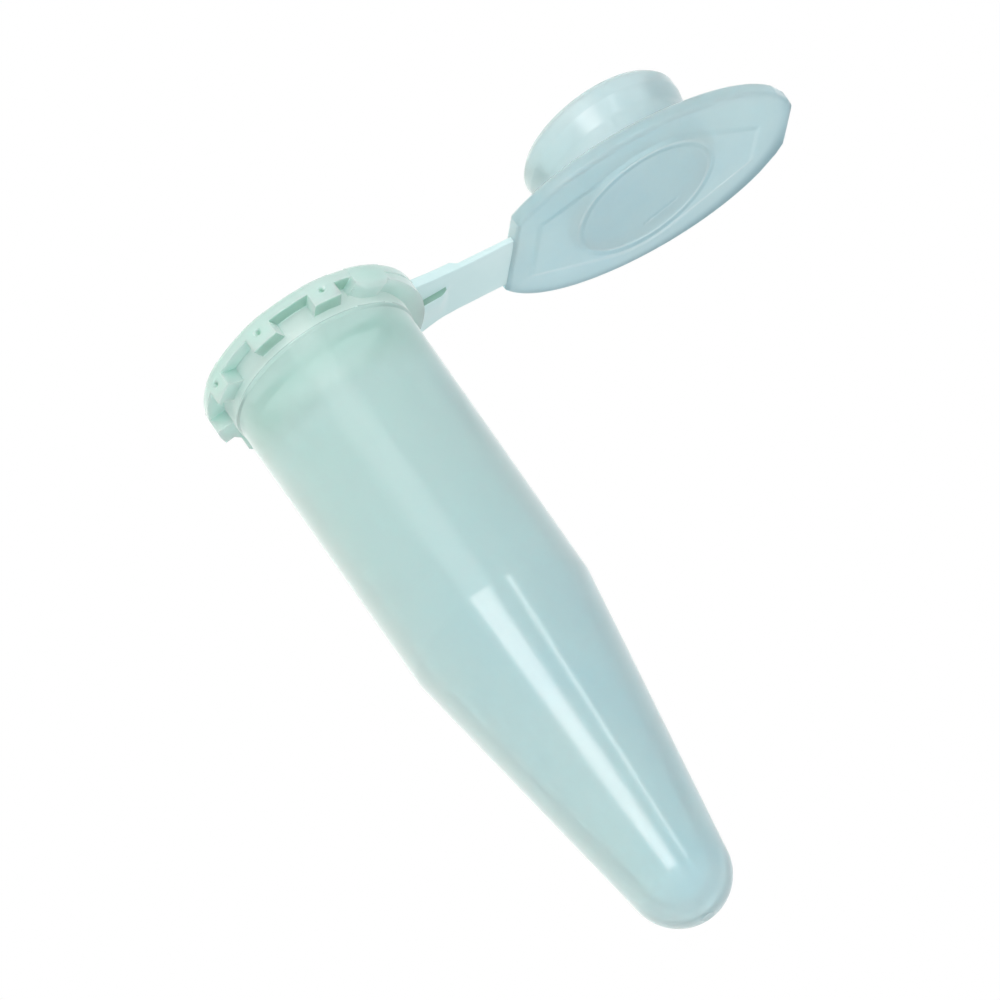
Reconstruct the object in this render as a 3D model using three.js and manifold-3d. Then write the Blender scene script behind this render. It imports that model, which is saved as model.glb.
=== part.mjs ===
// Snap-cap microcentrifuge tube, 1.5 ml pattern, natural polypropylene, as it leaves the mould:
// the lid lies wide open, level with the collar, at the end of a thin strap.
//
// Millimetres, +Z up. The origin is on the tube's axis in the plane of the collar's seat: the
// undersides of its lugs, which rest on the edge of a rack hole. The tube hangs down -Z and the
// lid lies towards +X. The real tube is one moulding: each mesh below is one moulded feature of it.
// Heights in this file are measured from the underside of the strap and of the open lid, which
// lies LEVEL above the origin.

import * as THREE from 'three';
import Module from 'manifold-3d';
import { mergeVertices } from 'three/addons/utils/BufferGeometryUtils.js';

// ---- driving dimensions ----------------------------------------------------------------

const SEGMENTS = 40;                 // facets round every turned piece
const LEVEL = 0.5;                   // the strap's underside, above the seat

const TUBE_RADIUS = 5.4;             // outside, just under the collar
const TUBE_RADIUS_LOW = 5.3;         // outside, where the cone starts
const TUBE_BOTTOM = -18.75;          // where the cone starts
const LEDGE_Z = -11.9;               // faint step inside the bore
const BORE_RADIUS = 4.55;            // above the ledge
const BORE_RADIUS_LOW = 4.42;        // below the ledge
const SEAT_RADIUS = 4.89;            // the bore where the plug's bead seals
const SEAT_TOP = -2.3;
const SEAT_BOTTOM = -3.4;
const MOUTH_RADIUS = 5.26;           // the flared bore, level with the strap

const TIP_RADIUS = 2.79;             // outside sphere of the round bottom
const TIP_END = -38.35;
const TIP_INNER_RADIUS = 1.75;
const TIP_FLOOR = 1.3;               // thickness of the bottom
const GATE_RADIUS = 0.45;
const GATE_HEIGHT = 0.1;

const RIM_Z = 1.05;                  // top of the collar
const COLLAR_RADIUS = 6.5;
const COLLAR_FOOT = 0.1;             // rounding of the collar's lower edge
const COLLAR_SHOULDER = 0.45;        // and of its upper edge
const UNDERSIDE = 0.32;              // the collar's underside, between its lugs
const RING_BOTTOM = -1.15;           // the thicker ring of wall under the collar
const RING_RADIUS = 5.5;
const LUG_BOTTOM = -LEVEL;           // the lugs that hang under the collar
const LUG_HALF_WIDTH = 0.81;
const LUG_ANGLES = [88, 124, 160];   // degrees from the hinge, on both sides
const END_LUG_ANGLE = 60.5;          // a wider rounded lug beside the hinge, on both sides
const END_LUG_HALF_WIDTH = 1.17;
const PAD_ANGLE = 50;                // half the spread of the pad behind the hinge root
const PAD_BOTTOM = -0.4;

const LID_THICKNESS = 1.05;
const LID_EDGE_X = 12.1;             // the lid's straight edge, on the strap's side
const PLUG_OFFSET = 8.5;             // from that edge to the plug's axis
const LID_LENGTH = 17.9;
const LID_OVAL_CENTRE = 8.6;         // the lid's outline is an oval, cut square at both ends
const LID_OVAL_LENGTH = 9.6;
const LID_OVAL_WIDTH = 6.5;
const THUMB_START = 14.5;
const THUMB_FACET = 16.4;
const THUMB_HALF_WIDTH = 1.8;
const THUMB_CORNER = 0.15;
const GROOVE_INNER = 4.15;           // ring groove in the lid's outer face
const GROOVE_OUTER = 4.45;
const GROOVE_DEPTH = 0.15;

const PLUG_NECK_RADIUS = 4.62;
const PLUG_INNER_RADIUS = 3.9;
const BEAD_START = 3.3;
const BEAD_Z = 4.45;
const BEAD_RADIUS = 4.85;
const PLUG_END = 5.15;
const PLUG_END_RADIUS = 4.4;

const STRAP_THICKNESS = 0.36;
const STRAP_HALF_WIDTH = 2.1;
const ROOT_HINGE_X = 9.42;           // fold line beside the root block
const LID_HINGE_X = 11.18;           // fold line beside the lid
const FOLD_GAP = 0.02;

const ROOT_HEIGHT = 0.58;
const ROOT_HALF_WIDTH = 2.15;
const ROOT_END = 8.6;
const ROOT_GAP = 0.02;               // to the collar's rim
const RIB_HALF_WIDTH = 1.05;
const RIB_DEPTH = 0.4;
const RIB_END = 8.2;

const PLUG_AXIS_X = LID_EDGE_X + PLUG_OFFSET;

// ---- materials -------------------------------------------------------------------------

const moulded = (color, roughness) => new THREE.MeshStandardMaterial({
  color, roughness, metalness: 0, transparent: true, opacity: 0.75,
});
const wallPlastic = moulded(0xb9d8d3, 0.22);
const collarPlastic = moulded(0xc6dfda, 0.3);
const strapPlastic = moulded(0xd3e6e2, 0.35);
const lidPlastic = moulded(0xafd0d2, 0.3);

// ---- helpers ---------------------------------------------------------------------------

const wasm = await Module();
wasm.setup();

function toManifold(geometry) {
  const bare = geometry.clone();
  bare.deleteAttribute('normal');
  bare.deleteAttribute('uv');
  const merged = mergeVertices(bare, 1e-4);
  return new wasm.Manifold(new wasm.Mesh({
    numProp: 3,
    vertProperties: merged.attributes.position.array,
    triVerts: merged.index.array,
  }));
}

function fromManifold(solid) {
  const mesh = solid.getMesh();
  const geometry = new THREE.BufferGeometry();
  geometry.setAttribute('position', new THREE.BufferAttribute(new Float32Array(mesh.vertProperties), 3));
  geometry.setIndex(new THREE.BufferAttribute(new Uint32Array(mesh.triVerts), 1));
  geometry.computeVertexNormals();
  return geometry;
}

// A ring or cup turned round the Z axis from [radius, z] pairs, listed with the material on
// the left. A profile that doesn't start on the axis closes on itself.
function turned(profile) {
  const points = profile.map(([radius, z]) => new THREE.Vector2(radius, z));
  if (profile[0][0] > 0) {
    points.push(points[0].clone());
  }
  return new THREE.LatheGeometry(points, SEGMENTS).rotateX(Math.PI / 2);
}

// Points on an arc from one angle to another, in degrees, as [radius, z] pairs.
function arc(centreZ, radius, fromAngle, toAngle, steps) {
  return Array.from({ length: steps + 1 }, (_, i) => {
    const angle = THREE.MathUtils.degToRad(fromAngle + (toAngle - fromAngle) * i / steps);
    return [radius * Math.cos(angle), centreZ + radius * Math.sin(angle)];
  });
}

// A plate with the given outline in XY, from one height up to another.
function plate(outline, bottom, top) {
  const shape = new THREE.Shape(outline.map(([x, y]) => new THREE.Vector2(x, y)));
  const geometry = new THREE.ExtrudeGeometry(shape, { depth: top - bottom, bevelEnabled: false });
  return geometry.translate(0, 0, bottom);
}

// A bar with the given outline in XZ, extruded evenly to both sides of the middle plane.
function bar(outline, halfWidth) {
  const shape = new THREE.Shape(outline.map(([x, z]) => new THREE.Vector2(x, z)));
  const geometry = new THREE.ExtrudeGeometry(shape, { depth: 2 * halfWidth, bevelEnabled: false });
  return geometry.translate(0, 0, -halfWidth).rotateX(Math.PI / 2);
}

const part = new THREE.Group();

function add(name, geometry, material, x = 0) {
  const mesh = new THREE.Mesh(geometry, material);
  mesh.name = name;
  mesh.position.set(x, 0, LEVEL);
  part.add(mesh);
}

// ---- tube wall -------------------------------------------------------------------------

// The bore flares from the seal seat to the rim, so that the plug clears it as the lid swings.
const flare = [[SEAT_RADIUS, SEAT_TOP], [5.04, -1.75], [5.11, -1.35], [5.14, RING_BOTTOM]];

add('barrel', turned([
  [TUBE_RADIUS_LOW, TUBE_BOTTOM],
  [TUBE_RADIUS, RING_BOTTOM],
  ...flare.toReversed(),
  [SEAT_RADIUS, SEAT_BOTTOM],
  [BORE_RADIUS, SEAT_BOTTOM - 0.8],
  [BORE_RADIUS, LEDGE_Z],
  [BORE_RADIUS_LOW, LEDGE_Z - 0.15],
  [BORE_RADIUS_LOW, TUBE_BOTTOM],
]), wallPlastic);

// The cone's outside is the line from the cylinder's foot that just touches the tip's sphere.
const tipCentre = TIP_END + TIP_RADIUS;
const tipInnerCentre = TIP_END + TIP_FLOOR + TIP_INNER_RADIUS;

function touchAngle(startRadius, centreZ, radius) {
  const rise = TUBE_BOTTOM - centreZ;
  const distance = Math.hypot(startRadius, rise);
  return THREE.MathUtils.radToDeg(Math.atan2(rise, startRadius) - Math.acos(radius / distance));
}

const outerTouch = touchAngle(TUBE_RADIUS_LOW, tipCentre, TIP_RADIUS);
const innerTouch = touchAngle(BORE_RADIUS_LOW, tipInnerCentre, TIP_INNER_RADIUS);
const outerFoot = arc(tipCentre, TIP_RADIUS, outerTouch, outerTouch, 1)[0];
const innerFoot = arc(tipInnerCentre, TIP_INNER_RADIUS, innerTouch, innerTouch, 1)[0];

add('cone', turned([
  outerFoot,
  [TUBE_RADIUS_LOW, TUBE_BOTTOM],
  [BORE_RADIUS_LOW, TUBE_BOTTOM],
  innerFoot,
]), wallPlastic);

const gateAngle = -THREE.MathUtils.radToDeg(Math.acos(GATE_RADIUS / TIP_RADIUS));
const tipOutside = arc(tipCentre, TIP_RADIUS, gateAngle, outerTouch, 8);
const tipFlat = tipOutside[0][1];
const tipInside = arc(tipInnerCentre, TIP_INNER_RADIUS, innerTouch, -90, 7).slice(0, -1);

add('tip', turned([
  [0, tipFlat],
  ...tipOutside,
  ...tipInside,
  [0, TIP_END + TIP_FLOOR],
]), wallPlastic);

// The stub where the plastic entered the mould.
add('gate_mark', turned([
  [0, tipFlat - GATE_HEIGHT],
  [GATE_RADIUS * 0.8, tipFlat - GATE_HEIGHT],
  [GATE_RADIUS, tipFlat],
  [0, tipFlat],
]), wallPlastic);

// ---- collar ----------------------------------------------------------------------------

add('collar_flange', turned([
  [MOUTH_RADIUS + 0.01, UNDERSIDE],
  [COLLAR_RADIUS - COLLAR_FOOT, UNDERSIDE],
  [COLLAR_RADIUS, UNDERSIDE + COLLAR_FOOT],
  [COLLAR_RADIUS, RIM_Z - COLLAR_SHOULDER],
  [COLLAR_RADIUS - 0.15, RIM_Z - 0.2],
  [COLLAR_RADIUS - COLLAR_SHOULDER, RIM_Z],
  [MOUTH_RADIUS + 0.2, RIM_Z],
  [MOUTH_RADIUS + 0.04, RIM_Z - 0.2],
]), collarPlastic);

// The ring thickens the wall under the collar. Lugs hang from the collar outside it.
const ring = turned([
  [5.14, RING_BOTTOM],
  [TUBE_RADIUS, RING_BOTTOM],
  [RING_RADIUS, RING_BOTTOM + 0.1],
  [RING_RADIUS, UNDERSIDE],
  [MOUTH_RADIUS + 0.01, UNDERSIDE],
  [MOUTH_RADIUS, 0],
  [5.19, -0.75],
]);

const atAngle = (radius, angle) => [radius * Math.cos(angle), radius * Math.sin(angle)];

// A straight-sided lug, from inside the ring's wall out to the collar's edge.
function lug(degrees, halfWidth) {
  const middle = THREE.MathUtils.degToRad(degrees);
  const spread = Math.asin(halfWidth / COLLAR_RADIUS);
  const innerSpread = Math.asin(halfWidth / (RING_RADIUS - 0.1));
  return plate([
    atAngle(RING_RADIUS - 0.1, middle + innerSpread),
    atAngle(RING_RADIUS - 0.1, middle - innerSpread),
    atAngle(COLLAR_RADIUS, middle - spread),
    atAngle(COLLAR_RADIUS, middle),
    atAngle(COLLAR_RADIUS, middle + spread),
  ], LUG_BOTTOM, UNDERSIDE);
}

// The pad that carries the hinge root, from one end lug to the other.
function rootPad() {
  const inner = [];
  const outer = [];
  for (let step = -4; step <= 4; step += 1) {
    const angle = THREE.MathUtils.degToRad(PAD_ANGLE * step / 4);
    outer.push(atAngle(COLLAR_RADIUS, angle));
    inner.push(atAngle(RING_RADIUS - 0.1, angle));
  }
  return plate([...outer, ...inner.toReversed()], PAD_BOTTOM, UNDERSIDE);
}

let lugs = toManifold(ring).add(toManifold(rootPad()));
for (const side of [-1, 1]) {
  for (const angle of LUG_ANGLES) {
    lugs = lugs.add(toManifold(lug(side * angle, LUG_HALF_WIDTH)));
  }
  lugs = lugs.add(toManifold(lug(side * END_LUG_ANGLE, END_LUG_HALF_WIDTH)));
}
add('collar_ring', fromManifold(lugs), collarPlastic);

// ---- hinge root, on the collar ---------------------------------------------------------

function rootOutline() {
  const inner = [];
  for (let angle = -27; angle <= 27; angle += 9) {
    const turn = THREE.MathUtils.degToRad(angle);
    const radius = COLLAR_RADIUS + ROOT_GAP;
    inner.push([radius * Math.cos(turn), radius * Math.sin(turn)]);
  }
  const corner = new THREE.Vector2(...inner.at(-1));
  const fillet = new THREE.QuadraticBezierCurve(
    corner,
    new THREE.Vector2(6.6, ROOT_HALF_WIDTH + 0.1),
    new THREE.Vector2(7.8, ROOT_HALF_WIDTH),
  ).getPoints(5).map((p) => [p.x, p.y]);
  const upper = [...fillet.slice(1), [ROOT_END, ROOT_HALF_WIDTH]];
  const lower = upper.map(([x, y]) => [x, -y]);
  return [...lower, ...upper.toReversed(), ...inner.toReversed()];
}

add('hinge_root', plate(rootOutline(), 0, ROOT_HEIGHT), collarPlastic);

add('hinge_rib', bar([
  [COLLAR_RADIUS + ROOT_GAP, 0],
  [COLLAR_RADIUS + ROOT_GAP, -RIB_DEPTH],
  [RIB_END - 0.5, -RIB_DEPTH],
  [RIB_END, 0],
], RIB_HALF_WIDTH), collarPlastic);

// ---- strap -----------------------------------------------------------------------------

const foldReach = STRAP_THICKNESS / 2 + FOLD_GAP;

function strapBox(fromX, toX) {
  return bar([[fromX, 0], [toX, 0], [toX, STRAP_THICKNESS], [fromX, STRAP_THICKNESS]], STRAP_HALF_WIDTH);
}

add('root_web', strapBox(ROOT_END, ROOT_HINGE_X - foldReach), strapPlastic);

// The strap's ends are round about the two fold lines.
const halfThick = STRAP_THICKNESS / 2;
add('strap', bar([
  ...arc(halfThick, halfThick, -90, 90, 8).map(([x, z]) => [LID_HINGE_X + x, z]),
  ...arc(halfThick, halfThick, 90, 270, 8).map(([x, z]) => [ROOT_HINGE_X + x, z]),
], STRAP_HALF_WIDTH), strapPlastic);

add('strap_tail', strapBox(LID_HINGE_X + foldReach, LID_EDGE_X), strapPlastic);

// ---- lid -------------------------------------------------------------------------------

// Half the lid's width at a distance from its straight edge.
function ovalHalfWidth(along) {
  return LID_OVAL_WIDTH * Math.sqrt(1 - ((along - LID_OVAL_CENTRE) / LID_OVAL_LENGTH) ** 2);
}

function ovalSide(from, to, steps) {
  const startAngle = Math.acos((from - LID_OVAL_CENTRE) / LID_OVAL_LENGTH);
  const endAngle = Math.acos((to - LID_OVAL_CENTRE) / LID_OVAL_LENGTH);
  return Array.from({ length: steps + 1 }, (_, i) => {
    const angle = startAngle + (endAngle - startAngle) * i / steps;
    const along = LID_OVAL_CENTRE + LID_OVAL_LENGTH * Math.cos(angle);
    return [along, ovalHalfWidth(along)];
  });
}

function mirrored(side) {
  return [...side.map(([x, y]) => [x, -y]), ...side.toReversed()];
}

const lidSide = ovalSide(0, THUMB_START, 16);
const groove = turned([
  [GROOVE_INNER, -1],
  [GROOVE_OUTER, -1],
  [GROOVE_OUTER, GROOVE_DEPTH],
  [GROOVE_INNER, GROOVE_DEPTH],
]).translate(PLUG_OFFSET, 0, 0);
const lid = toManifold(plate(mirrored(lidSide), 0, LID_THICKNESS)).subtract(toManifold(groove));
add('lid_plate', fromManifold(lid), lidPlastic, LID_EDGE_X);

const thumbSide = [
  ...ovalSide(THUMB_START, THUMB_FACET, 3),
  [LID_LENGTH - THUMB_CORNER, THUMB_HALF_WIDTH],
  [LID_LENGTH, THUMB_HALF_WIDTH - 2 * THUMB_CORNER],
];
add('thumb_tab', plate(mirrored(thumbSide), 0, LID_THICKNESS), lidPlastic, LID_EDGE_X);

// The plug is an open cup: a plain neck, then a rounded bead that seals in the tube's seat.
add('plug_neck', turned([
  [PLUG_INNER_RADIUS, LID_THICKNESS],
  [PLUG_NECK_RADIUS, LID_THICKNESS],
  [PLUG_NECK_RADIUS, BEAD_START],
  [PLUG_INNER_RADIUS, BEAD_START],
]), lidPlastic, PLUG_AXIS_X);

add('seal_bead', turned([
  [PLUG_INNER_RADIUS, BEAD_START],
  [PLUG_NECK_RADIUS, BEAD_START],
  [4.78, 3.9],
  [BEAD_RADIUS, BEAD_Z],
  [4.73, 4.88],
  [PLUG_END_RADIUS, PLUG_END],
  [PLUG_INNER_RADIUS + 0.1, PLUG_END],
  [PLUG_INNER_RADIUS, PLUG_END - 0.3],
]), lidPlastic, PLUG_AXIS_X);

export default part;
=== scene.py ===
"""A snap-cap microcentrifuge tube in natural polypropylene, lid open, built around its CAD frame.

Shapes are worked out in millimetres, in the row frame, and scaled to metres when a mesh is made.
"""

import math

import bpy
import numpy as np
from mathutils import Matrix, Vector


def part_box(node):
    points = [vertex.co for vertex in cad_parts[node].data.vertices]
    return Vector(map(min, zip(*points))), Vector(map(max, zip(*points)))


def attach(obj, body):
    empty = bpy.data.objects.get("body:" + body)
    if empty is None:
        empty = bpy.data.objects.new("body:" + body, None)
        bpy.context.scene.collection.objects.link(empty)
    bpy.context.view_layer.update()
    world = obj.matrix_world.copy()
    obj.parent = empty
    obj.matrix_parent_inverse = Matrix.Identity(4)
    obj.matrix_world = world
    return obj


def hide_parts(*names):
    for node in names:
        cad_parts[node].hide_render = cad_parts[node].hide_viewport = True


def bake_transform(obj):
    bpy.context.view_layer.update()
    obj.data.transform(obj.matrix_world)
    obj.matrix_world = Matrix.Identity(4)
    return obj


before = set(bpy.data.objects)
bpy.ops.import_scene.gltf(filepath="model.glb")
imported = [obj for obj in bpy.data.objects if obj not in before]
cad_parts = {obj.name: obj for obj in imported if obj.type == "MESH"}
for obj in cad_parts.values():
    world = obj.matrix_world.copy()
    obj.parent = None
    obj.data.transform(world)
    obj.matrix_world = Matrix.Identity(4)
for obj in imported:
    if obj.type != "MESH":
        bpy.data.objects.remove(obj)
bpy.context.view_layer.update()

MM = 0.001


# ---- sizes, from the CAD nodes where they give them --------------------------------------

X, Y, Z = 0, 1, 2
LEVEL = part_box("strap")[0][Z] / MM           # heights below are measured from the strap's underside


def span(node, axis):
    """Lowest and highest coordinate of a CAD node along one axis, in millimetres."""
    low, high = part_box(node)
    base = LEVEL if axis == Z else 0
    return low[axis] / MM - base, high[axis] / MM - base


TUBE_RADIUS, TUBE_RADIUS_LOW = 5.4, 5.3
TUBE_BOTTOM = span("barrel", Z)[0]
RING_BOTTOM = span("collar_ring", Z)[0]
UNDERSIDE, RIM = span("collar_flange", Z)
COLLAR_RADIUS = span("collar_flange", Y)[1]
RING_RADIUS = 5.5
LUG_BOTTOM = -LEVEL
LUG_HALF, END_LUG_HALF = 0.81, 1.17          # half the width of the lugs that hang from the collar
LUG_SOFT, END_LUG_SOFT = 0.07, 0.3           # how round their lower edges are
LUGS = [88, 124, 160, 200, 236, 272]         # their angles from the hinge
END_LUGS = [60.5, 299.5]                     # wider, rounded ones beside the hinge
PAD_ANGLE, PAD_BOTTOM = 49.8, -0.4           # the pad behind the hinge root, between the end lugs
PAD_THIN_FROM, PAD_THIN_TO = 25, 45          # it gets thinner between these angles
SHADE_FROM, SHADE_TO = 72, 132               # the angles between which the downward faces under the collar get painted shade
END_LIFT = 0.35                              # how much higher the wide lugs' corners are
DOT_HEIGHT, DOT_RADIUS, DOT_DEPTH = 0.22, 0.2, 0.12
TIP_RADIUS, TIP_INNER_RADIUS, TIP_FLOOR = 2.79, 1.75, 1.3
TIP_END = -38.35
GATE_RADIUS, GATE_HEIGHT = 0.45, 0.08        # the stub where the plastic was let in, under the tip
MOUTH_RADIUS, SEAT_RADIUS = 5.46, 4.89       # the bore at the rim, and where the plug seals
BORE_RADIUS, BORE_LOW = 4.55, 4.42           # above and below the faint ledge inside
LEDGE = -11.9

LID_EDGE = span("lid_plate", X)[0]
LID_THICK = span("lid_plate", Z)[1]
PLUG_X = sum(span("plug_neck", X)) / 2
STRAP_THICK = span("strap", Z)[1]
STRAP_HALF = span("strap", Y)[1]
FIRST_FOLD, SECOND_FOLD = 9.42, 11.18
STRAP_START = 8.95
STRAP_MIDDLE = (FIRST_FOLD + SECOND_FOLD) / 2


# ---- profiles and meshes -----------------------------------------------------------------

SUPPORT = 0.04                       # distance of the support points from a fillet's ends
SHARE_OF_RUN = 0.48                  # the most of a straight run that one fillet may take
CREASE = math.radians(38)            # edges sharper than this are shaded sharp


def rounded(corners, steps=6, support=SUPPORT, longest=0.9):
    """Points along (r, z, fillet radius) corners, with support points beside each fillet."""
    points = []
    for i, (r, z, fillet) in enumerate(corners):
        here = np.array([r, z])
        if i in (0, len(corners) - 1) or fillet == 0:
            points.append([here])
            continue
        back = np.array(corners[i - 1][:2]) - here
        ahead = np.array(corners[i + 1][:2]) - here
        lengths = np.linalg.norm(back), np.linalg.norm(ahead)
        back, ahead = back / lengths[0], ahead / lengths[1]
        half = math.acos(np.clip(back @ ahead, -1, 1)) / 2
        reach = min(fillet / math.tan(half), SHARE_OF_RUN * min(lengths))
        start, end = here + back * reach, here + ahead * reach
        t = np.linspace(0, 1, steps + 1)[:, None]
        pull = 2 * t * (1 - t) * math.sin(half)      # the corner's weight in a circular arc
        curve = (1 - t) ** 2 * start + pull * here + t ** 2 * end
        curve /= (1 - t) ** 2 + pull + t ** 2
        points.append(list(curve))
    path = [points[0][0]]
    for before, after in zip(points, points[1:]):
        a, b = before[-1], after[0]
        length = np.linalg.norm(b - a)
        if length > 3 * support:
            inner = np.linspace(support, length - support, max(2, math.ceil(length / longest)))
            path += [a + (b - a) * d / length for d in inner]
        path += after
    return np.array(path)


def grid_mesh(name, rings, material):
    """A closed mesh through rings of points, as (rings, points, 3), with a fan over each end."""
    rings = np.asarray(rings, float)
    count, around = rings.shape[:2]
    verts = list(rings.reshape(-1, 3))
    faces = []
    j = np.arange(around)
    k = (j + 1) % around
    for i in range(count - 1):
        a, b = i * around, (i + 1) * around
        faces += np.stack([a + j, a + k, b + k, b + j], 1).tolist()
    for end, base, order in ((0, 0, (k, j)), (-1, (count - 1) * around, (j, k))):
        verts.append(rings[end].mean(0))
        pole = len(verts) - 1
        faces += [[base + p, base + q, pole] for p, q in zip(*order)]
    mesh = bpy.data.meshes.new(name)
    mesh.from_pydata(((np.array(verts) + [0, 0, LEVEL]) * MM).tolist(), [], faces)
    mesh.validate()
    mesh.shade_smooth()
    mesh.set_sharp_from_angle(angle=CREASE)
    mesh.materials.append(material)
    piece = bpy.data.objects.new(name, mesh)
    bpy.context.scene.collection.objects.link(piece)
    return piece


def smoothstep(low, high, value):
    t = np.clip((np.asarray(value, float) - low) / (high - low), 0, 1)
    return t * t * (3 - 2 * t)


def angle_gap(a, b):
    """Unsigned difference between angles, in degrees."""
    return np.abs((np.asarray(a) - b + 180) % 360 - 180)


# ---- plastic -----------------------------------------------------------------------------

CLOUD_SCALE, FLOW_SCALE, PEEL_SCALE = 260, 55, 2600      # noise cells per metre
TINT_LOW, TINT_HIGH = 0.38, 0.62                         # noise that gives the deep and pale tints
HAZE_LOW, HAZE_HIGH = 0.75, 1.25                         # how far the skin's roughness varies
SCATTER = 1.2 * MM                                       # how far light spreads below the skin


def noise(material, scale, detail):
    """A noise texture fixed to the piece."""
    nodes, links = material.node_tree.nodes, material.node_tree.links
    where = nodes.new("ShaderNodeTexCoord")
    texture = nodes.new("ShaderNodeTexNoise")
    texture.inputs["Scale"].default_value = scale
    texture.inputs["Detail"].default_value = detail
    links.new(where.outputs["Object"], texture.inputs["Vector"])
    return texture.outputs["Fac"]


def plastic(name, pale, deep, clear, rough, grain, milky=1.0):
    """Natural polypropylene: a glossy skin over a cloudy body that lets part of the light through.

    clear is how much passes straight through, rough the skin's roughness, grain its bump height in
    millimetres, milky how much of the rest scatters below the skin.
    """
    material = bpy.data.materials.new(name)
    material.use_nodes = True
    nodes, links = material.node_tree.nodes, material.node_tree.links
    skin = nodes["Principled BSDF"]
    cloud = noise(material, CLOUD_SCALE, 3)
    flow = noise(material, FLOW_SCALE, 2)
    peel = noise(material, PEEL_SCALE, 2)

    both = nodes.new("ShaderNodeMath")
    both.operation = "ADD"
    links.new(cloud, both.inputs[0])
    links.new(flow, both.inputs[1])
    halve = nodes.new("ShaderNodeMath")
    halve.operation = "MULTIPLY"
    halve.inputs[1].default_value = 0.5
    links.new(both.outputs[0], halve.inputs[0])
    tint = nodes.new("ShaderNodeValToRGB")
    stops = ((TINT_LOW, deep), (TINT_HIGH, pale))
    for element, (position, colour) in zip(tint.color_ramp.elements, stops):
        element.position = position
        element.color = (*colour, 1)
    links.new(halve.outputs[0], tint.inputs["Fac"])
    links.new(tint.outputs["Color"], skin.inputs["Base Color"])

    haze = nodes.new("ShaderNodeMapRange")
    haze.inputs["To Min"].default_value = rough * HAZE_LOW
    haze.inputs["To Max"].default_value = rough * HAZE_HIGH
    links.new(flow, haze.inputs["Value"])
    links.new(haze.outputs["Result"], skin.inputs["Roughness"])

    bump = nodes.new("ShaderNodeBump")
    bump.inputs["Strength"].default_value = 0.35
    bump.inputs["Distance"].default_value = grain * MM
    links.new(peel, bump.inputs["Height"])
    links.new(bump.outputs["Normal"], skin.inputs["Normal"])

    skin.inputs["IOR"].default_value = 1.49
    skin.inputs["Transmission Weight"].default_value = clear
    skin.inputs["Sheen Weight"].default_value = 0.75
    skin.inputs["Sheen Roughness"].default_value = 0.4
    skin.inputs["Subsurface Weight"].default_value = milky
    skin.inputs["Subsurface Scale"].default_value = SCATTER
    skin.inputs["Subsurface Radius"].default_value = (0.9, 1.0, 1.0)
    return material


wall_plastic = plastic(
    "wall_plastic", (0.75, 0.92, 0.955), (0.68, 0.87, 0.915), clear=0.55, rough=0.16, grain=0.004,
)
collar_plastic = plastic(
    "collar_plastic", (0.70, 0.90, 0.84), (0.62, 0.85, 0.78), clear=0.3, rough=0.23, grain=0.006,
)
# Painted shade: a darker plastic put where shade falls, on downward faces under the collar, in the dots'
# dimples and on the step under the hinge root.
painted_shade_plastic = plastic(
    "painted_shade_plastic", (0.42, 0.66, 0.56), (0.33, 0.58, 0.50), clear=0.3, rough=0.34, grain=0.006,
)
strap_plastic = plastic(
    "strap_plastic", (0.73, 0.92, 0.93), (0.67, 0.89, 0.90), clear=0.05, rough=0.34, grain=0.006, milky=0,
)
lid_plastic = plastic(
    "lid_plastic", (0.70, 0.89, 0.95), (0.62, 0.84, 0.91), clear=0.55, rough=0.34, grain=0.008,
)
plug_plastic = plastic(
    "plug_plastic", (0.75, 0.88, 0.91), (0.67, 0.83, 0.87), clear=0.55, rough=0.22, grain=0.006,
)


def deepen(material, share, colour):
    """Mix a deeper colour into the plastic where share, an output of its own nodes, is high."""
    nodes, links = material.node_tree.nodes, material.node_tree.links
    base = nodes["Principled BSDF"].inputs["Base Color"]
    mix = nodes.new("ShaderNodeMix")
    mix.data_type = "RGBA"
    mix.inputs["B"].default_value = (*colour, 1)
    links.new(share, mix.inputs["Factor"])
    links.new(base.links[0].from_socket, mix.inputs["A"])
    links.new(mix.outputs["Result"], base)


def smooth_share(material, value, low, high):
    """An output that rises smoothly from 0 at low to 1 at high."""
    share = material.node_tree.nodes.new("ShaderNodeMapRange")
    share.interpolation_type = "SMOOTHSTEP"
    share.inputs["From Min"].default_value = low
    share.inputs["From Max"].default_value = high
    material.node_tree.links.new(value, share.inputs["Value"])
    return share.outputs["Result"]


def shade_far_edge(material, colour):
    """Deepen the lid's colour towards the long edge that faces away from the light."""
    nodes, links = material.node_tree.nodes, material.node_tree.links
    where = nodes.new("ShaderNodeTexCoord")
    oval = nodes.new("ShaderNodeMapping")
    oval.vector_type = "TEXTURE"
    centre_x, centre_y = LID_EDGE + 8.3, -0.8
    half_x, half_y = 10.2, 7.3
    oval.inputs["Location"].default_value = (centre_x * MM, centre_y * MM, 0)
    oval.inputs["Scale"].default_value = (half_x * MM, half_y * MM, 1)
    links.new(where.outputs["Object"], oval.inputs["Vector"])
    reach = nodes.new("ShaderNodeVectorMath")
    reach.operation = "LENGTH"
    links.new(oval.outputs["Vector"], reach.inputs[0])
    deepen(material, smooth_share(material, reach.outputs["Value"], 0.86, 1.0), colour)


def shade_upwards(material, low, high, colour):
    """Mix a colour into the wall from one height, in millimetres, up to another."""
    nodes, links = material.node_tree.nodes, material.node_tree.links
    where = nodes.new("ShaderNodeTexCoord")
    parts = nodes.new("ShaderNodeSeparateXYZ")
    links.new(where.outputs["Object"], parts.inputs["Vector"])
    deepen(material, smooth_share(material, parts.outputs["Z"], low * MM, high * MM), colour)


shade_upwards(wall_plastic, -26, -8, (0.73, 0.91, 0.90))      # greener towards the mouth
shade_upwards(wall_plastic, -5, -1.8, (0.60, 0.82, 0.77))     # and shaded by the ring below the collar
shade_far_edge(lid_plastic, (0.24, 0.46, 0.53))


# ---- tube, one moulding from the tip to the rim ------------------------------------------

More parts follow.
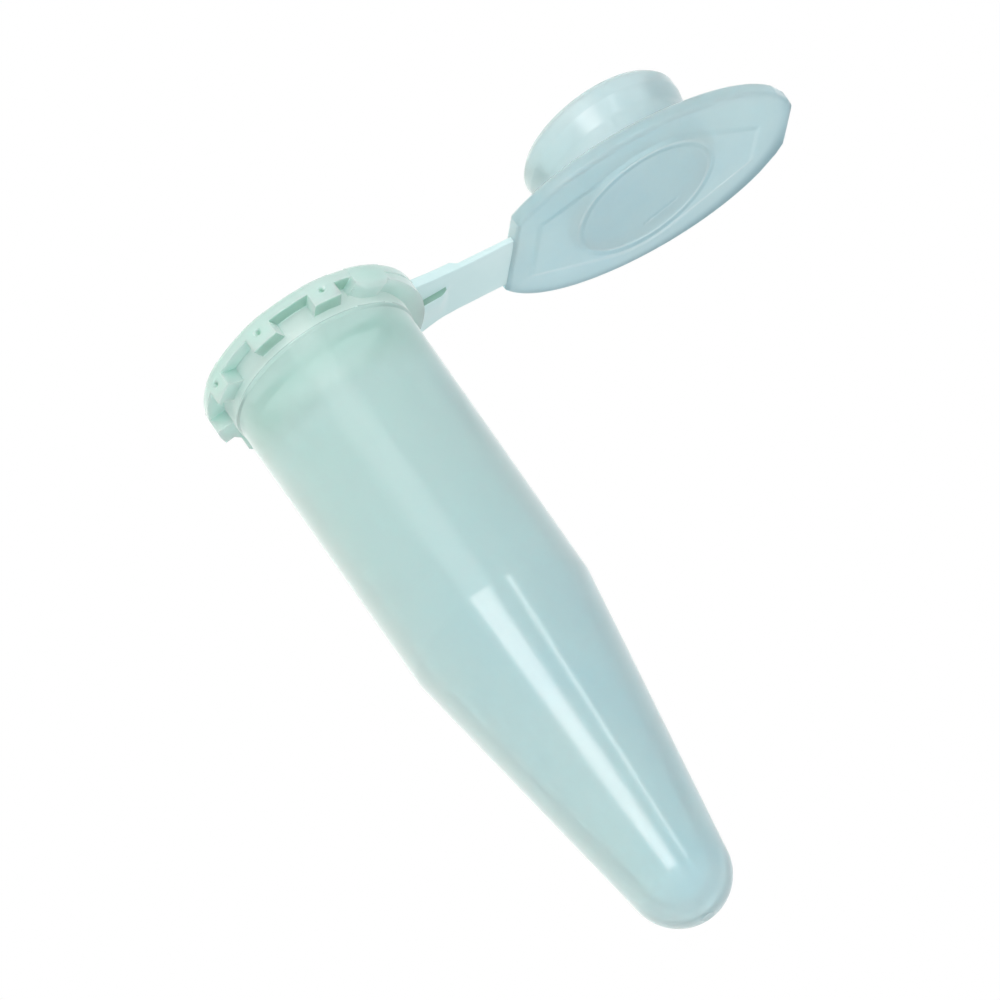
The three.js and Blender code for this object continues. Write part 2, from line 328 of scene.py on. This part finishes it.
POLE = 0.02                          # radius of the smallest ring, next to a pole on an axis
WALL_END = RING_BOTTOM - 0.6         # where the wall's profile gives way to the collar's


def arc(centre_z, radius, start, end, steps):
    """(r, z) points on an arc about a point on the axis, angles in radians."""
    a = np.linspace(start, end, steps + 1)
    return np.stack([radius * np.cos(a), centre_z + radius * np.sin(a)], 1)


def touch_angle(foot, centre_z, radius):
    """Where a line from the foot (r, z) just touches a sphere about the axis."""
    rise = foot[1] - centre_z
    return math.atan2(rise, foot[0]) - math.acos(radius / math.hypot(foot[0], rise))


def lower_profiles():
    """Profiles of the tube below its collar: the outside from the gate up, and the bowl inside."""
    outer_centre = TIP_END + TIP_RADIUS
    inner_centre = TIP_END + TIP_FLOOR + TIP_INNER_RADIUS
    outer_touch = touch_angle((TUBE_RADIUS_LOW, TUBE_BOTTOM), outer_centre, TIP_RADIUS)
    inner_touch = touch_angle((BORE_LOW, TUBE_BOTTOM), inner_centre, TIP_INNER_RADIUS)
    gate_angle = -math.acos(GATE_RADIUS / TIP_RADIUS)
    ball = arc(outer_centre, TIP_RADIUS, gate_angle, outer_touch, 26)
    bowl = arc(inner_centre, TIP_INNER_RADIUS, inner_touch, -math.pi / 2 + 0.02, 18)
    stub_end = ball[0][1] - GATE_HEIGHT
    stub = [(POLE, stub_end, 0), (GATE_RADIUS * 0.8, stub_end, 0.05), (*ball[0], 0)]
    wall = [(*ball[-1], 0), (TUBE_RADIUS_LOW, TUBE_BOTTOM, 3.0), (TUBE_RADIUS, WALL_END, 0)]
    outside = np.concatenate([rounded(stub), ball[1:], rounded(wall, steps=10)[1:-1]])
    return outside, bowl


def collar_corners(reach, bottom, soft):
    """The outside at one angle of the collar, where a lug reaches out and hangs down to bottom."""
    ring = [
        (TUBE_RADIUS - 0.002, WALL_END, 0),
        (TUBE_RADIUS - 0.01, RING_BOTTOM, 0.05),
        (RING_RADIUS - 0.02, RING_BOTTOM + 0.14, 0.12),
    ]
    if reach <= RING_RADIUS:
        step = [
            (RING_RADIUS, LUG_BOTTOM - 0.05, 0.02),
            (RING_RADIUS, LUG_BOTTOM + 0.3, 0.02),
            (RING_RADIUS, UNDERSIDE, 0.05),
            (COLLAR_RADIUS, UNDERSIDE, 0.06),
        ]
    elif reach >= COLLAR_RADIUS:
        step = [
            (RING_RADIUS, bottom, 0.05),
            (COLLAR_RADIUS, bottom, soft),
            (COLLAR_RADIUS, max(UNDERSIDE - 0.2, bottom + soft + 0.05), 0.02),
            (COLLAR_RADIUS, UNDERSIDE + 0.15, 0.02),
        ]
    else:
        step = [
            (RING_RADIUS, bottom, 0.02),
            (reach, bottom, 0.02),
            (reach, UNDERSIDE, 0.02),
            (COLLAR_RADIUS, UNDERSIDE, 0.06),
        ]
    return [*ring, *step, (COLLAR_RADIUS - 0.05, RIM, 0.5), (MOUTH_RADIUS, RIM, 0)]


def bore_corners(foot):
    """The bore from the rim down: the flare, the plug's seat, the ledge, and the cone to its foot."""
    return [
        (MOUTH_RADIUS, RIM, 0),
        (5.30, RIM - 0.2, 0.12),
        (5.26, 0, 0.3),
        (5.14, RING_BOTTOM, 0.3),
        (5.04, -1.75, 0.2),
        (SEAT_RADIUS, -2.3, 0.2),
        (SEAT_RADIUS, -4.2, 0.3),
        (BORE_RADIUS, -5.6, 0.5),
        (BORE_RADIUS, LEDGE, 0.06),
        (BORE_LOW, LEDGE - 0.15, 0.06),
        (BORE_LOW, TUBE_BOTTOM, 2.0),
        (*foot, 0),
    ]


def matched(corner_sets, steps, spacing):
    """rounded() for several corner lists, with equally many points between matching corners."""
    paths = []
    for corners in corner_sets:
        path = [np.array([corners[0][:2]])]
        for i in range(1, len(corners) - 1):
            path.append(rounded(corners[i - 1:i + 2], steps, support=math.inf)[1:-1])
        paths.append([*path, np.array([corners[-1][:2]])])
    merged = [list(path[0]) for path in paths]
    for i in range(1, len(corner_sets[0])):
        lengths = [np.linalg.norm(path[i][0] - path[i - 1][-1]) for path in paths]
        extra = max(0, math.ceil(max(lengths) / spacing) - 1)
        fractions = [SUPPORT / max(max(lengths), 0.2)] + [k / (extra + 1) for k in range(1, extra + 1)]
        fractions.append(1 - fractions[0])
        for out, path in zip(merged, paths):
            a, b = path[i - 1][-1], path[i][0]
            out += [a + (b - a) * f for f in sorted(fractions)]
            out += list(path[i])
    return np.array(merged)


def lug_edges(half):
    """Points down one side of a lug, as (degrees from its middle, distance from the axis)."""
    reaches = (COLLAR_RADIUS - 0.01, 6.3, 6.0, 5.75, RING_RADIUS + 0.02)
    return [(math.degrees(math.asin(half / r)), r) for r in reaches]


def collar_columns():
    """Columns round the collar: (angle, reach, bottom, softness) wherever the profile changes."""
    columns = []
    lugs = [(a, LUG_HALF, LUG_SOFT, 0) for a in LUGS]
    lugs += [(a, END_LUG_HALF, END_LUG_SOFT, END_LIFT) for a in END_LUGS]
    for middle, half, soft, lift in lugs:
        edges = lug_edges(half)
        flat = edges[0][0]
        for d in np.linspace(-flat + 0.05, flat - 0.05, 15):
            bottom = LUG_BOTTOM + lift * abs(d / flat) ** 4
            columns.append((middle + d, COLLAR_RADIUS, bottom, soft))
        for side in (-1, 1):
            edge = [(middle + side * d, r, LUG_BOTTOM + lift, 0) for d, r in edges]
            edge.append((middle + side * (edges[-1][0] + 0.2), RING_RADIUS, 0, 0))
            columns += [c for c in edge if angle_gap(c[0], 0) > PAD_ANGLE]
    taken = [(middle % 360, lug_edges(half)[-1][0] + 0.3) for middle, half, *_ in lugs]
    for a in np.arange(0, 360, 2.4):
        from_root = angle_gap(a, 0)
        if from_root < PAD_ANGLE - 0.5:
            ease = smoothstep(PAD_THIN_FROM, PAD_THIN_TO, from_root)
            columns.append((a, COLLAR_RADIUS - 0.03 - 0.06 * ease, PAD_BOTTOM + 0.25 * ease, 0))
        elif all(angle_gap(a, middle) > width for middle, width in taken):
            columns.append((a, RING_RADIUS, 0, 0))
    return sorted((a % 360, reach, bottom, soft) for a, reach, bottom, soft in columns)


def collar_material(face):
    """Which plastic a face of the tube has: 0 the wall's, 1 the collar's, 2 painted shade, on downward
    faces under the collar and in the dots' dimples.
    """
    height = face.center.z / MM - LEVEL
    radius = math.hypot(face.center.x, face.center.y) / MM
    bearing = math.degrees(math.atan2(face.center.y, face.center.x))
    if height <= RING_BOTTOM + 0.25:
        return 0
    low = height < UNDERSIDE + 0.02 and abs(face.normal.z) > 0.7
    inside = RING_RADIUS + 0.03 < radius < COLLAR_RADIUS - 0.03
    # Painted shade on the downward faces under the collar between these angles, on lugs and gaps alike.
    if low and inside and SHADE_FROM < abs(bearing) < SHADE_TO:
        return 2
    # Painted shade in the dimples of the dots, too.
    dot = 0.7 * DOT_RADIUS
    across = math.radians(min(angle_gap(bearing, a) for a in LUGS)) * radius
    if across < dot and abs(height - DOT_HEIGHT) < dot and radius > COLLAR_RADIUS - 0.2:
        return 2
    return 1


def build_tube():
    outside, bowl = lower_profiles()
    columns = collar_columns()
    angles = np.array([c[0] for c in columns])
    collar = matched([collar_corners(*c[1:]) for c in columns], 5, 0.12)
    bore = matched([bore_corners(bowl[0])], 6, 0.5)[0]
    turn = np.radians(angles)
    from_lug = np.min([angle_gap(angles, a) for a in LUGS], axis=0)
    rings = []

    def ring(r, z):
        r = np.broadcast_to(r, turn.shape)
        z = np.broadcast_to(z, turn.shape)
        rings.append(np.stack([r * np.cos(turn), r * np.sin(turn), z], 1))

    for r, z in outside:
        ring(r, z)
    for points in collar.transpose(1, 2, 0):
        r, z = points
        away = np.hypot(np.radians(from_lug) * r, z - DOT_HEIGHT)
        on_edge = (r > COLLAR_RADIUS - 0.02) & (z < RIM - 0.1)
        ring(r - DOT_DEPTH * (1 - smoothstep(0.5 * DOT_RADIUS, DOT_RADIUS, away)) * on_edge, z)
    for r, z in [*bore[1:], *bowl[1:]]:
        ring(r, z)
    piece = grid_mesh("tube", rings, wall_plastic)
    piece.data.materials.append(collar_plastic)
    piece.data.materials.append(painted_shade_plastic)
    for face in piece.data.polygons:
        face.material_index = collar_material(face)
    return piece


# ---- bars: the hinge root and the strap --------------------------------------------------

ROOT_START = 5.8                     # inside the collar's wall
ROOT_END = 8.45                      # where the hinge root steps down to the strap
STEP_LEAN = 0.12                     # how the step under the root leans away from the strap's line
STEP_PROFILE = [                     # the step across the bar: (y, share of its depth)
    (-1.1, 0),
    (-0.97, 0.1),
    (-0.87, 0.9),
    (-0.77, 1),
    (0.1, 0.8),
    (1.0, 0.4),
    (1.7, 0.05),
]
STEP_DEPTH = 0.36
STEP_FADE = (7.5, 8.35)              # where along the root the step dies out
ROOT_HALF, ROOT_TOP = 2.15, 0.58     # half the root's width, and its height
TOP_FALL = (8.42, 8.9)               # where its top falls to the strap's
HUG_RADIUS, HUG_END = 6.0, 7.5       # the root's start follows this radius, less and less up to here
WEB_LENGTH = 3.0                     # the root widens towards the collar over this length
NEAR_WEB, FAR_WEB = 0.5, 2.1         # and by this much on each side


def hug_collar(x, y):
    """x drawn back where the bar runs into the collar, so that its end follows the collar's curve."""
    near = 1 - smoothstep(ROOT_START, HUG_END, x)
    return x - near * (HUG_RADIUS - math.sqrt(HUG_RADIUS ** 2 - y ** 2))


def bar(name, stations, material, corner=0.09, arc_steps=4):
    """A rounded bar along X from (x, near side, far side, bottom, top, step) stations.

    step is how far the underside drops at a line near one side, to rise again to the other side.
    """
    rings = []
    for x, near, far, low, high, step in stations:
        radius = min(corner, (high - low) * 0.45)
        ring = []
        for cy, cz, start in (
            (far - radius, high - radius, 0),
            (near + radius, high - radius, 90),
            (near + radius, low + radius, 180),
            (far - radius, low + radius, 270),
        ):
            if start == 270:
                lean = STEP_LEAN * (x - ROOT_END)
                for y, drop in STEP_PROFILE:
                    ring.append([hug_collar(x, y - lean), y - lean, low - step * drop])
            for a in np.radians(np.linspace(start, start + 90, arc_steps + 1)):
                y = cy + radius * math.cos(a)
                ring.append([hug_collar(x, y), y, cz + radius * math.sin(a)])
        rings.append(ring)
    # The first end is closed along the same curve, so it stays inside the collar's wall.
    x, near, far, low, high, _ = stations[0]
    middle_y, middle_z = (near + far) / 2, (low + high) / 2
    outermost = rings[0]
    for size in (0.5, 0.05):
        inner = []
        for _, y, z in outermost:
            y = middle_y + size * (y - middle_y)
            inner.append([hug_collar(x, y), y, middle_z + size * (z - middle_z)])
        rings.insert(0, inner)
    return grid_mesh(name, rings, material)


def build_root():
    """The block on the collar that carries the strap, with the strap's near half."""
    stations = []
    for x in np.concatenate([np.linspace(ROOT_START, ROOT_END, 34), np.linspace(8.5, STRAP_START, 8)]):
        web = max(0, 1 - (x - RING_RADIUS) / WEB_LENGTH) ** 2.2
        half = ROOT_HALF - 0.05 * smoothstep(8.4, STRAP_START, x)
        top = ROOT_TOP - (ROOT_TOP - STRAP_THICK) * smoothstep(*TOP_FALL, x)
        step = STEP_DEPTH * (1 - smoothstep(*STEP_FADE, x))
        stations.append((x, -half - NEAR_WEB * web, half + FAR_WEB * web, 0.0, top, step))
    for x in np.linspace(STRAP_START + 0.05, STRAP_MIDDLE, 30):
        stations.append((x, -STRAP_HALF, STRAP_HALF, 0.0, STRAP_THICK, 0))
    root = bar("hinge_root", stations, strap_plastic)
    root.data.materials.append(painted_shade_plastic)
    # Painted shade on the near wall of the step under the root, where a shadow falls in the corner.
    for face in root.data.polygons:
        if face.normal.y < -0.8 and face.center.y > -1.4 * MM:
            face.material_index = 1
    return root


def build_strap():
    """The strap's half beside the lid. Its other end is a tongue inside the half beside the root."""
    xs = np.linspace(STRAP_MIDDLE - 0.25, LID_EDGE + 0.08, 34)
    gap = 0.006
    half, low, high = STRAP_HALF - gap, gap, STRAP_THICK - gap
    return bar("strap", [(x, -half, half, low, high, 0) for x in xs], strap_plastic)


# ---- lid with its plug -------------------------------------------------------------------

LID_OVAL_CENTRE, LID_OVAL_LENGTH, LID_OVAL_WIDTH = 8.6, 9.75, 6.5    # half length, half width
THUMB_START = 16.7                   # where the oval gives way to the thumb tab
THUMB_CORNERS = [(17.6, 2.5), (18.0, 1.7)]


def lid_outline():
    """The lid's outline about the plug's axis, and which of its points are corners.

    It is an oval, cut square at the strap and tapered to the thumb tab.
    """
    start = math.acos((0 - LID_OVAL_CENTRE) / LID_OVAL_LENGTH)
    end = math.acos((THUMB_START - LID_OVAL_CENTRE) / LID_OVAL_LENGTH)
    side = []
    for a in np.linspace(start, end, 60):
        x = LID_OVAL_LENGTH * math.cos(a)
        y = LID_OVAL_WIDTH * math.sqrt(1 - (x / LID_OVAL_LENGTH) ** 2)
        side.append((LID_OVAL_CENTRE + x, y))
    corners = [0, len(side) - 1, len(side), len(side) + 1]
    side += THUMB_CORNERS
    loop = side + [(x, -y) for x, y in reversed(side)]
    corners += [len(loop) - 1 - i for i in corners]
    return np.array(loop) - [PLUG_X - LID_EDGE, 0], corners


def reach_of(loop, angles):
    """Distance from the origin to a closed outline, at each angle in radians."""
    found = np.full(len(angles), 1e9)
    ends = np.roll(loop, -1, axis=0)
    for (ax, ay), (bx, by) in zip(loop, ends):
        dx, dy = bx - ax, by - ay
        c, s = np.cos(angles), np.sin(angles)
        det = c * dy - s * dx
        safe = np.where(np.abs(det) < 1e-12, 1e-12, det)
        t = (ax * dy - ay * dx) / safe
        u = (ax * s - ay * c) / safe
        ok = (t > 0) & (u > -1e-9) & (u < 1 + 1e-9) & (np.abs(det) > 1e-12)
        found = np.where(ok & (t < found), t, found)
    return found


def circle_hull(radius, extra):
    """Convex hull of a circle and a few more points, as a loop."""
    a = np.radians(np.arange(0, 360, 2.0))
    points = np.concatenate([np.stack([radius * np.cos(a), radius * np.sin(a)], 1), extra])
    points = sorted(map(tuple, points))

    def half(seq):
        chain = []
        for p in seq:
            while len(chain) > 1:
                (ax, ay), (bx, by) = chain[-2:]
                if (bx - ax) * (p[1] - ay) - (by - ay) * (p[0] - ax) > 0:
                    break
                chain.pop()
            chain.append(p)
        return chain[:-1]

    return np.array(half(points) + half(reversed(points)))


FACE_RADIUS = 4.55                   # the raised face is the hull of this circle
FACE_CORNERS = [(-6.9, 2.3), (-6.9, -2.3), (6.9, 1.5), (6.9, -1.5)]      # and these points
SLOPE, SLOPE_DROP = 0.5, 0.08        # width and depth of the slope round it
RIM_DROP = 0.06                      # how much deeper the face is at the lid's edge
GROOVE_RADIUS, GROOVE_HALF, GROOVE_DEPTH = 4.2, 0.3, 0.06
LID_TWIST = 0.06                     # how far the open lid is turned about its plug, in radians
LID_TILT = 0.022                     # how far the lid's plate leans, as a slope
LEVEL_POINT = 27.4                   # where the leaning plate is at its drawn height


def build_lid():
    outline, corners = lid_outline()
    point_angles = np.degrees(np.arctan2(outline[:, 1], outline[:, 0])) % 360
    angles = list(np.arange(0, 360, 1.5))
    for a in point_angles[corners]:
        angles += [a - 0.5, a - 0.2, a + 0.2, a + 0.5]
    angles = np.unique(np.round(np.array(angles) % 360, 3))
    turn = np.radians(angles)
    edge = reach_of(outline, turn)
    soft = (np.roll(edge, 1) + 2 * edge + np.roll(edge, -1)) / 4
    raised = reach_of(circle_hull(FACE_RADIUS, FACE_CORNERS), turn)
    raised = np.minimum(raised, soft - 0.9)
    rings = []

    def ring(r, z):
        r = np.broadcast_to(r, turn.shape)
        z = np.broadcast_to(z, turn.shape)
        x = PLUG_X + r * np.cos(turn + LID_TWIST)
        y = r * np.sin(turn + LID_TWIST)
        rings.append(np.stack([x, y, z + LID_TILT * (x - LEVEL_POINT)], 1))

    def scratch(r):
        """A short raised mark beside the middle of the outer face."""
        start, way = np.array([0.3, 2.6]), np.array([1.9, -1.0])
        x, y = r * np.cos(turn) - start[0], r * np.sin(turn) - start[1]
        along = np.clip((x * way[0] + y * way[1]) / (way @ way), 0, 1)
        away = np.hypot(x - way[0] * along, y - way[1] * along)
        return -0.04 * (1 - smoothstep(0.03, 0.12, away))

    for r in [POLE, *np.arange(0.3, 3.8, 0.12), 3.85]:
        ring(r, scratch(r))
    for r in [*np.arange(3.9, 4.12, 0.04), *np.arange(4.14, 4.5, 0.04)]:
        ring(r, GROOVE_DEPTH * (1 - smoothstep(0.0, GROOVE_HALF, abs(r - GROOVE_RADIUS))))
    for f in (0.25, 0.6, 0.95):
        ring(4.48 + (raised - 4.48) * f, 0.0)
    for d in np.arange(0.0, SLOPE, 0.06):
        ring(raised + d, SLOPE_DROP * smoothstep(-0.05, SLOPE, d))
    brim = soft - 0.3
    for f in (0.1, 0.3, 0.5, 0.7, 0.9, 1.0):
        ring(raised + SLOPE + (brim - raised - SLOPE) * f, SLOPE_DROP + RIM_DROP * f)
    low, high = SLOPE_DROP + RIM_DROP, LID_THICK
    bend, inner_bend = 0.28, 0.2         # radii of the edge's two roundings
    for a in np.radians(np.arange(15, 91, 15)):
        ring(soft - bend + bend * np.sin(a), low + bend * (1 - np.cos(a)))
    for f in (0.1, 0.5, 0.9):
        ring(soft, low + bend + (high - inner_bend - low - bend) * f)
    for a in np.radians(np.arange(0, 91, 15)):
        away = inner_bend * (1 - np.cos(a))
        ring(soft - away, high - inner_bend + inner_bend * np.sin(a))
    neck, bead, hollow, end = 4.62, 4.85, 3.9, 5.15
    foot = neck + 0.33
    plug = rounded([
        (foot, high, 0),
        (neck, high, 0.18),
        (neck, 3.0, 1.2),
        (bead, 4.0, 0.7),
        (bead, 4.75, 0.35),
        (4.5, end, 0.3),
        (3.98, end, 0.12),
        (hollow, 4.8, 0.2),
        (hollow, high, 0.25),
        (POLE, high, 0),
    ], steps=7, longest=0.35)
    inner_edge = soft - 0.24
    for f in (0.02, 0.3, 0.6, 0.9):
        ring(inner_edge + (foot - inner_edge) * f, high)
    for r, z in plug:
        ring(r, z)
    piece = grid_mesh("lid", rings, lid_plastic)
    piece.data.materials.append(plug_plastic)
    for face in piece.data.polygons:
        if face.center.z / MM - LEVEL > high + 0.25:
            face.material_index = 1
    return piece


tube = build_tube()
root = build_root()
strap = build_strap()
lid = build_lid()

TUBE_NODES = ("barrel", "cone", "tip", "gate_mark", "collar_flange", "collar_ring")
LID_NODES = ("lid_plate", "thumb_tab", "plug_neck", "seal_bead")
for piece, body, slot, nodes in (
    (tube, "tube", "tube_wall", TUBE_NODES),
    (lid, "lid", "lid", LID_NODES),
):
    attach(piece, body)
    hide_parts(*nodes)

for piece, first, second, fold, nodes in (
    (root, "tube", "strap", FIRST_FOLD, ("hinge_root", "hinge_rib", "root_web")),
    (strap, "strap", "lid", SECOND_FOLD, ("strap", "strap_tail")),
):
    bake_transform(piece)
    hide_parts(*nodes)


# ---- camera ------------------------------------------------------------------------------

LOOK_UP = math.radians(24.18)        # the camera looks up at the tube from its tip's side
TURN = math.radians(19.65)           # and from this far round towards the lid
ROLL = math.radians(35.37)
DISTANCE = 0.400
LENS = 272.3
SHIFT_RIGHT, SHIFT_DOWN = 10.256, 8.182      # millimetres, from the rim's centre to the view's

level = Vector((math.cos(TURN), -math.sin(TURN), 0))
ahead = Vector((math.sin(TURN), math.cos(TURN), 0))
up = Vector((0, 0, 1))
forward = math.cos(LOOK_UP) * ahead + math.sin(LOOK_UP) * up
fall = math.sin(LOOK_UP) * ahead - math.cos(LOOK_UP) * up
right = math.cos(ROLL) * level + math.sin(ROLL) * fall
down = math.cos(ROLL) * fall - math.sin(ROLL) * level
rim_centre = Vector((0, 0, (RIM + LEVEL) * MM))

camera = bpy.data.objects.new("camera", bpy.data.cameras.new("camera"))
bpy.context.scene.collection.objects.link(camera)
camera.matrix_world = Matrix.Translation(
    rim_centre + (SHIFT_RIGHT * right + SHIFT_DOWN * down) * MM - DISTANCE * forward
) @ Matrix((right, -down, -forward)).transposed().to_4x4()
camera.data.lens = LENS
camera.data.clip_start = 0.01
camera.data.clip_end = 10
bpy.context.scene.camera = camera


# ---- floor, lights and surroundings ------------------------------------------------------

def flat_material(name, colour, rough):
    material = bpy.data.materials.new(name)
    material.use_nodes = True
    shader = material.node_tree.nodes["Principled BSDF"]
    shader.inputs["Base Color"].default_value = (*colour, 1)
    shader.inputs["Roughness"].default_value = rough
    return material


FLOOR_Z = -0.26
bpy.ops.mesh.primitive_plane_add(size=4, location=(0, 0, FLOOR_Z))
floor = bpy.context.object
floor.name = "floor"
floor.data.materials.append(flat_material("floor_paper", (0.90, 0.87, 0.92), 0.7))

TARGET = Vector((0.006, 0, -0.014))
LIGHT_DISTANCE = 1.0


def softbox(name, azimuth, elevation, wide, tall, power, colour=(1, 1, 1)):
    """A rectangular light seen from the object at these angles, sized in degrees."""
    a, e = math.radians(azimuth), math.radians(elevation)
    out = Vector((math.cos(e) * math.cos(a), math.cos(e) * math.sin(a), math.sin(e)))
    data = bpy.data.lights.new(name, "AREA")
    data.shape = "RECTANGLE"
    data.size = 2 * LIGHT_DISTANCE * math.tan(math.radians(wide / 2))
    data.size_y = 2 * LIGHT_DISTANCE * math.tan(math.radians(tall / 2))
    data.energy = power
    data.color = colour
    light = bpy.data.objects.new(name, data)
    bpy.context.scene.collection.objects.link(light)
    light.location = TARGET + out * LIGHT_DISTANCE
    light.rotation_mode = "QUATERNION"
    light.rotation_quaternion = out.to_track_quat("Z", "Y")
    light.visible_camera = False


softbox("broad", -110, 10, 34, 40, 1.5)
softbox("key", -110.5, 8, 24, 20, 2.7, colour=(1, 0.88, 0.88))
softbox("second", -74, 8, 5, 18, 0.6)
softbox("low", -110, -22, 14, 16, 1.0)

world = bpy.data.worlds.new("studio")
world.use_nodes = True
bpy.context.scene.world = world
wn, wl = world.node_tree.nodes, world.node_tree.links
direction = wn.new("ShaderNodeTexCoord")


def facing(axis, stops):
    """A colour ramp over how far a direction leans along an axis, from against it to along it."""
    lean = wn.new("ShaderNodeVectorMath")
    lean.operation = "DOT_PRODUCT"
    lean.inputs[1].default_value = axis
    wl.new(direction.outputs["Generated"], lean.inputs[0])
    share = wn.new("ShaderNodeMapRange")
    share.inputs["From Min"].default_value = -1
    wl.new(lean.outputs["Value"], share.inputs["Value"])
    ramp = wn.new("ShaderNodeValToRGB")
    ramp.color_ramp.elements.remove(ramp.color_ramp.elements[1])
    for i, (position, colour) in enumerate(stops):
        element = ramp.color_ramp.elements[0] if i == 0 else ramp.color_ramp.elements.new(position)
        element.position = position
        element.color = (*colour, 1)
    wl.new(share.outputs["Result"], ramp.inputs["Fac"])
    return ramp.outputs["Color"]


# White paper behind the tube, a dimmer room in front, warmer on the left and cooler on the right.
depth_light = facing(forward, [(0.0, (0.3,) * 3), (0.45, (0.7,) * 3), (0.8, (1.15,) * 3)])
side_light = facing(right, [
    (0.1, (1.05, 1.14, 1.04)),
    (0.5, (0.74, 0.8, 0.79)),
    (0.9, (0.5, 0.6, 0.64)),
])
both_lights = wn.new("ShaderNodeMix")
both_lights.data_type = "RGBA"
both_lights.blend_type = "MULTIPLY"
both_lights.inputs["Factor"].default_value = 1
wl.new(depth_light, both_lights.inputs["A"])
wl.new(side_light, both_lights.inputs["B"])
air = wn["Background"]
air.inputs["Strength"].default_value = 1.0
wl.new(both_lights.outputs["Result"], air.inputs["Color"])
plain = wn.new("ShaderNodeBackground")
plain.inputs["Color"].default_value = (1, 1, 1, 1)
plain.inputs["Strength"].default_value = 1.0
seen = wn.new("ShaderNodeLightPath")
pick = wn.new("ShaderNodeMixShader")
wl.new(seen.outputs["Is Camera Ray"], pick.inputs[0])
wl.new(air.outputs[0], pick.inputs[1])
wl.new(plain.outputs[0], pick.inputs[2])
wl.new(pick.outputs[0], wn["World Output"].inputs["Surface"])

scene = bpy.context.scene
scene.view_settings.view_transform = "Standard"
